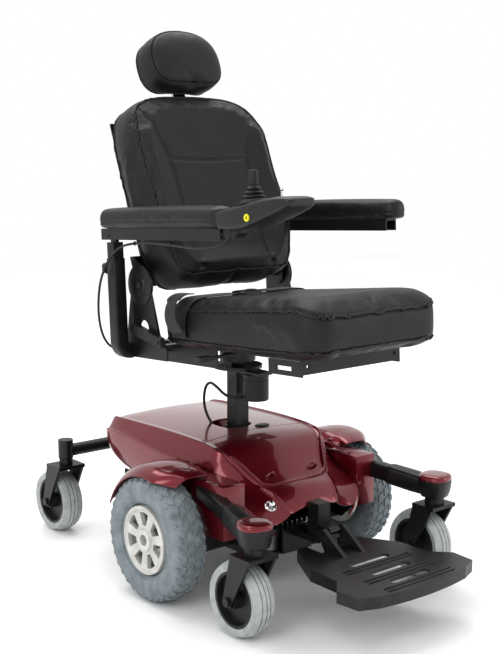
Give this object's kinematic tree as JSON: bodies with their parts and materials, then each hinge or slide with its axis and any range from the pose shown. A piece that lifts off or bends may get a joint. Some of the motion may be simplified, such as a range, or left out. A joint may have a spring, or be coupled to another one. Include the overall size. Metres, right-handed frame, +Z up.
{
  "type": "power wheelchair",
  "caption": "Six-wheeled mid-drive power wheelchair with lifting swivel captain's seat, reclining back, flip-up armrests, joystick and fold-up footplate.",
  "frame": {"origin": "on the ground in the middle of the chair's footprint", "axes": "+Z up, -Y the way the chair drives, +X the sitter's left"},
  "size_m": [0.624, 1.1122, 1.2092],
  "materials": {
    "frame_black": "satin black powder coat",
    "shroud_red": "candy red lacquer over moulded plastic",
    "battery_grey": "moulded battery case",
    "module_alloy": "finned extrusion",
    "motor_black": "black enamel casting",
    "tyre_grey": "non-marking grey rubber",
    "rim_silver": "silver lacquer",
    "fork_black": "black powder coat",
    "hub_black": "moulded nylon",
    "plastic_black": "moulded textured plastic",
    "vinyl_black": "stitched upholstery vinyl",
    "cable_black": "PVC sheath",
    "webbing_black": "woven polyester belt",
    "rubber_black": "moulded bellows",
    "chrome_bright": "polished",
    "socket_yellow": "moulded insert",
    "lever_grey": "moulded grip"
  },
  "bodies": {
    "chassis": {"base_frame": "frame_black", "seat_column": "frame_black", "batteries": "battery_grey", "power_module": "module_alloy", "gearmotor_left": "motor_black", "gearmotor_right": "motor_black", "fender_left": "shroud_red", "fender_right": "shroud_red", "shroud_body": "shroud_red", "footplate_bracket": "frame_black"},
    "lid": {"shroud_lid": "shroud_red"},
    "rear_axle": {"rear_beam": "frame_black"},
    "footrest": {"footplate": "plastic_black"},
    "lift": {"lift_post": "frame_black", "lift_motor": "motor_black", "lift_cable": "cable_black"},
    "seat": {"seat_frame": "frame_black", "seat_cushion": "vinyl_black", "arm_receivers": "frame_black", "lap_belt": "webbing_black"},
    "swivel_handle": {"swivel_lever": "frame_black"},
    "back": {"back_frame": "frame_black", "back_cushion": "vinyl_black"},
    "headrest": {"headrest": "vinyl_black"},
    "recline_handle": {"recline_lever": "frame_black"},
    "drive_wheel_left": {"drive_tyre_left": "tyre_grey", "drive_rim_left": "rim_silver"},
    "freewheel_left": {"freewheel_lever_left": "lever_grey"},
    "front_arm_left": {"front_arm_left": "frame_black", "front_cap_left": "shroud_red"},
    "front_left_swivel": {"front_left_fork": "fork_black"},
    "front_left_wheel": {"front_left_tyre": "tyre_grey", "front_left_hub": "hub_black"},
    "rear_left_swivel": {"rear_left_fork": "fork_black"},
    "rear_left_wheel": {"rear_left_tyre": "tyre_grey", "rear_left_hub": "hub_black"},
    "drive_wheel_right": {"drive_tyre_right": "tyre_grey", "drive_rim_right": "rim_silver"},
    "freewheel_right": {"freewheel_lever_right": "lever_grey"},
    "front_arm_right": {"front_arm_right": "frame_black", "front_cap_right": "shroud_red"},
    "front_right_swivel": {"front_right_fork": "fork_black"},
    "front_right_wheel": {"front_right_tyre": "tyre_grey", "front_right_hub": "hub_black"},
    "rear_right_swivel": {"rear_right_fork": "fork_black"},
    "rear_right_wheel": {"rear_right_tyre": "tyre_grey", "rear_right_hub": "hub_black"},
    "arm_support_left": {"arm_post_left": "frame_black"},
    "armrest_left": {"arm_rail_left": "frame_black", "arm_pad_left": "vinyl_black"},
    "arm_support_right": {"arm_post_right": "frame_black"},
    "armrest_right": {"arm_rail_right": "frame_black", "arm_pad_right": "vinyl_black", "joystick_housing": "plastic_black", "joystick_boot": "rubber_black", "charger_socket": "socket_yellow", "joystick_cable": "cable_black"},
    "gimbal": {"joystick_gimbal": "plastic_black"},
    "stick": {"joystick_stick": "plastic_black"},
    "power_toggle": {"toggle_switch": "chrome_bright"}
  },
  "joints": [
    {"name": "drive_spin_left", "type": "hinge", "parent": "chassis", "child": "drive_wheel_left", "pos_m": [0.271, -0.045, 0.13335], "axis": [1, 0, 0], "continuous": true},
    {"name": "freewheel_left_turn", "type": "hinge", "parent": "chassis", "child": "freewheel_left", "pos_m": [0.21, 0.039, 0.15335], "axis": [1, 0, 0], "range_deg": [-20, 0]},
    {"name": "front_arm_left_rock", "type": "hinge", "parent": "chassis", "child": "front_arm_left", "pos_m": [0.195, -0.095, 0.237], "axis": [-1, 0, 0], "range_deg": [0, 7], "stiffness_Nm_per_rad": 150, "springref_deg": -25.78},
    {"name": "front_left_swivel_turn", "type": "hinge", "parent": "front_arm_left", "child": "front_left_swivel", "pos_m": [0.2545, -0.343, 0.174], "axis": [0, 0, 1], "continuous": true},
    {"name": "front_left_wheel_spin", "type": "hinge", "parent": "front_left_swivel", "child": "front_left_wheel", "pos_m": [0.2545, -0.3045, 0.0762], "axis": [1, 0, 0], "continuous": true},
    {"name": "rear_left_swivel_turn", "type": "hinge", "parent": "rear_axle", "child": "rear_left_swivel", "pos_m": [0.1995, 0.4415, 0.174], "axis": [0, 0, 1], "continuous": true},
    {"name": "rear_left_wheel_spin", "type": "hinge", "parent": "rear_left_swivel", "child": "rear_left_wheel", "pos_m": [0.1995, 0.48, 0.0762], "axis": [1, 0, 0], "continuous": true},
    {"name": "drive_spin_right", "type": "hinge", "parent": "chassis", "child": "drive_wheel_right", "pos_m": [-0.271, -0.045, 0.13335], "axis": [1, 0, 0], "continuous": true},
    {"name": "freewheel_right_turn", "type": "hinge", "parent": "chassis", "child": "freewheel_right", "pos_m": [-0.21, 0.039, 0.15335], "axis": [1, 0, 0], "range_deg": [-20, 0]},
    {"name": "front_arm_right_rock", "type": "hinge", "parent": "chassis", "child": "front_arm_right", "pos_m": [-0.195, -0.095, 0.237], "axis": [-1, 0, 0], "range_deg": [0, 7], "stiffness_Nm_per_rad": 150, "springref_deg": -25.78},
    {"name": "front_right_swivel_turn", "type": "hinge", "parent": "front_arm_right", "child": "front_right_swivel", "pos_m": [-0.2545, -0.343, 0.174], "axis": [0, 0, 1], "continuous": true},
    {"name": "front_right_wheel_spin", "type": "hinge", "parent": "front_right_swivel", "child": "front_right_wheel", "pos_m": [-0.2545, -0.3045, 0.0762], "axis": [1, 0, 0], "continuous": true},
    {"name": "rear_right_swivel_turn", "type": "hinge", "parent": "rear_axle", "child": "rear_right_swivel", "pos_m": [-0.1995, 0.4415, 0.174], "axis": [0, 0, 1], "continuous": true},
    {"name": "rear_right_wheel_spin", "type": "hinge", "parent": "rear_right_swivel", "child": "rear_right_wheel", "pos_m": [-0.1995, 0.48, 0.0762], "axis": [1, 0, 0], "continuous": true},
    {"name": "rear_axle_rock", "type": "hinge", "parent": "chassis", "child": "rear_axle", "pos_m": [0, 0.4415, 0.2065], "axis": [0, 1, 0], "range_deg": [-4, 4]},
    {"name": "lid_lift_off", "type": "slide", "parent": "chassis", "child": "lid", "axis": [0, 0, 1], "range_m": [0, 0.05]},
    {"name": "footrest_fold", "type": "hinge", "parent": "chassis", "child": "footrest", "pos_m": [0, -0.291, 0.152], "axis": [-1, 0, 0], "range_deg": [0, 80]},
    {"name": "lift_travel", "type": "slide", "parent": "chassis", "child": "lift", "axis": [0, 0, 1], "range_m": [-0.045, 0.1], "deforming": ["lift_cable"]},
    {"name": "seat_swivel", "type": "hinge", "parent": "lift", "child": "seat", "pos_m": [0, 0.021, 0.462], "axis": [0, 0, 1], "range_deg": [-90, 90]},
    {"name": "swivel_handle_turn", "type": "hinge", "parent": "seat", "child": "swivel_handle", "pos_m": [-0.1, -0.09706, 0.51023], "axis": [0, 0.0523, 0.9986], "range_deg": [-12, 12], "stiffness_Nm_per_rad": 0.5},
    {"name": "back_recline", "type": "hinge", "parent": "seat", "child": "back", "pos_m": [0, 0.11021, 0.64357], "axis": [-1, 0, 0], "range_deg": [-25, 30]},
    {"name": "headrest_height", "type": "slide", "parent": "back", "child": "headrest", "axis": [0, 0.3665, 0.9304], "range_m": [0, 0.08]},
    {"name": "recline_handle_lift", "type": "hinge", "parent": "seat", "child": "recline_handle", "pos_m": [-0.207, 0.02803, 0.52771], "axis": [1, 0, 0], "range_deg": [0, 14], "stiffness_Nm_per_rad": 1},
    {"name": "arm_height_left", "type": "slide", "parent": "seat", "child": "arm_support_left", "axis": [0, 0.0523, 0.9986], "range_m": [0, 0.06]},
    {"name": "arm_flip_left", "type": "hinge", "parent": "arm_support_left", "child": "armrest_left", "pos_m": [0.226, 0.16574, 0.74781], "axis": [-1, 0, 0], "range_deg": [0, 90]},
    {"name": "arm_height_right", "type": "slide", "parent": "seat", "child": "arm_support_right", "axis": [0, 0.0523, 0.9986], "range_m": [0, 0.06], "deforming": ["joystick_cable"]},
    {"name": "arm_flip_right", "type": "hinge", "parent": "arm_support_right", "child": "armrest_right", "pos_m": [-0.226, 0.16574, 0.74781], "axis": [-1, 0, 0], "range_deg": [0, 90]},
    {"name": "stick_pitch", "type": "hinge", "parent": "armrest_right", "child": "gimbal", "pos_m": [-0.226, -0.30768, 0.82869], "axis": [1, 0, 0], "range_deg": [-16, 16], "stiffness_Nm_per_rad": 0.4, "deforming": ["joystick_boot"]},
    {"name": "stick_roll", "type": "hinge", "parent": "gimbal", "child": "stick", "pos_m": [-0.226, -0.30768, 0.82869], "axis": [0, 0.9986, -0.0523], "range_deg": [-16, 16], "stiffness_Nm_per_rad": 0.4},
    {"name": "toggle_flip", "type": "hinge", "parent": "armrest_right", "child": "power_toggle", "pos_m": [-0.226, -0.3861, 0.84181], "axis": [1, 0, 0], "range_deg": [-14, 14], "stiffness_Nm_per_rad": 0.05}
  ]
}
